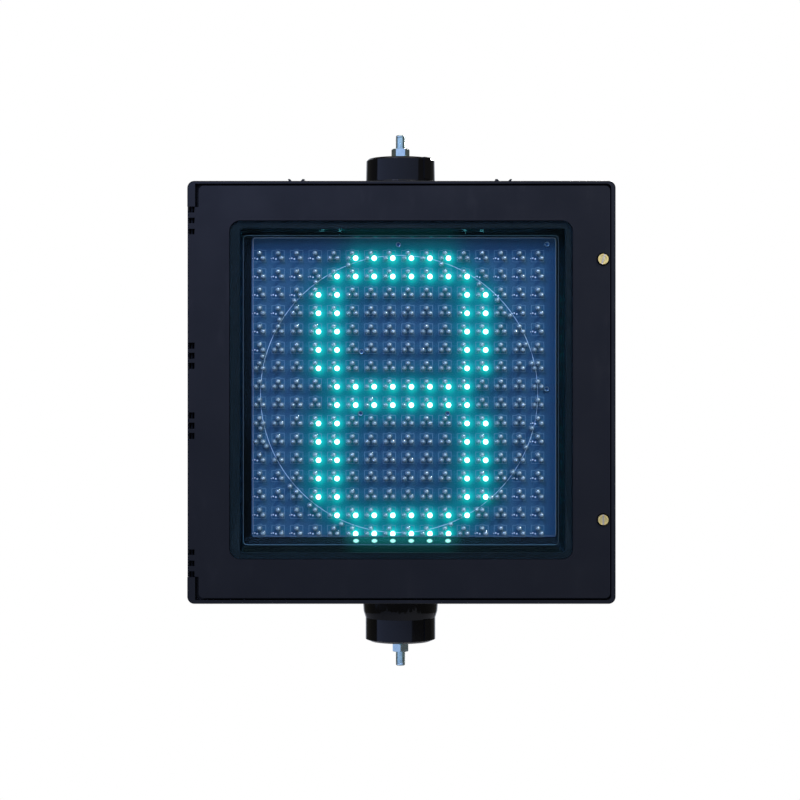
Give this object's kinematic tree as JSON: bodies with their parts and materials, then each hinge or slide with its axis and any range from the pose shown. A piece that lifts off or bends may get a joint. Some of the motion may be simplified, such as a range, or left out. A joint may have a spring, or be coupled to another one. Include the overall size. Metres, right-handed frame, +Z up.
{
  "type": "traffic signal head",
  "caption": "Square black traffic signal head with a hinged front door, clear cover over an LED matrix, and round stud couplings above and below.",
  "frame": {"origin": "on the stud axis, at the lower face of the bottom nut", "axes": "+Z up along the stud axis, -Y out of the front of the door, +X to the right seen from the front"},
  "size_m": [0.4269, 0.115, 0.5431],
  "materials": {
    "case_plastic": "satin",
    "coupling_plastic": "satin",
    "tray_plastic": "matte",
    "block_plastic": "satin",
    "rubber": "matte",
    "clear_polycarbonate": "gloss",
    "board_blue": "satin",
    "board_green": "satin",
    "led_clear": "gloss",
    "brass": "satin",
    "zinc": "satin",
    "stainless": "satin",
    "case_aluminium": "satin",
    "led_green": "gloss"
  },
  "bodies": {
    "mounting": {"top_coupling": "coupling_plastic", "bottom_coupling": "coupling_plastic", "top_gasket": "rubber", "bottom_gasket": "rubber", "clamp_plates": "zinc", "top_stud": "zinc", "bottom_stud": "zinc", "mount_nuts": "zinc", "mount_washers": "zinc"},
    "housing": {"rear_housing": "case_plastic", "hinge_pins": "stainless", "screw_inserts": "brass", "cable_grommet": "rubber", "terminal_block": "block_plastic", "terminal_screws": "zinc", "block_screws": "zinc"},
    "door": {"front_door": "case_plastic", "door_gasket": "rubber", "clear_cover": "clear_polycarbonate", "cover_gasket": "rubber", "board_tray": "tray_plastic", "tray_screws": "stainless", "led_board": "board_blue", "board_screws": "stainless", "leds_red": "led_clear", "leds_yellow": "led_clear", "leds_green": "led_green", "leds_edge": "led_clear", "power_supply": "case_aluminium", "psu_screws": "zinc", "psu_terminals": "block_plastic", "control_board": "board_green", "control_standoffs": "brass", "control_screws": "zinc", "control_parts": "tray_plastic"},
    "upper_screw_slide": {"upper_screw_clip": "stainless"},
    "upper_screw": {"upper_screw": "brass"},
    "lower_screw_slide": {"lower_screw_clip": "stainless"},
    "lower_screw": {"lower_screw": "brass"}
  },
  "joints": [
    {"name": "aim", "type": "hinge", "parent": "mounting", "child": "housing", "pos_m": [0, 0, 0.2656], "axis": [0, 0, 1], "range_deg": [-90, 90]},
    {"name": "door_swing", "type": "hinge", "parent": "housing", "child": "door", "pos_m": [-0.2082, -0.0535, 0.2656], "axis": [0, 0, -1], "range_deg": [0, 110]},
    {"name": "upper_screw_travel", "type": "slide", "parent": "door", "child": "upper_screw_slide", "axis": [0, -1, 0], "range_m": [0, 0.008]},
    {"name": "upper_screw_turn", "type": "hinge", "parent": "upper_screw_slide", "child": "upper_screw", "pos_m": [0.2017, -0.05, 0.3977], "axis": [0, -1, 0], "range_deg": [0, 2880]},
    {"name": "lower_screw_travel", "type": "slide", "parent": "door", "child": "lower_screw_slide", "axis": [0, -1, 0], "range_m": [0, 0.008]},
    {"name": "lower_screw_turn", "type": "hinge", "parent": "lower_screw_slide", "child": "lower_screw", "pos_m": [0.2017, -0.05, 0.1383], "axis": [0, -1, 0], "range_deg": [0, 2880]}
  ],
  "couplings": [
    {"joint": "upper_screw_turn", "follows": "upper_screw_travel", "rad_per_m": 6283},
    {"joint": "lower_screw_turn", "follows": "lower_screw_travel", "rad_per_m": 6283}
  ]
}
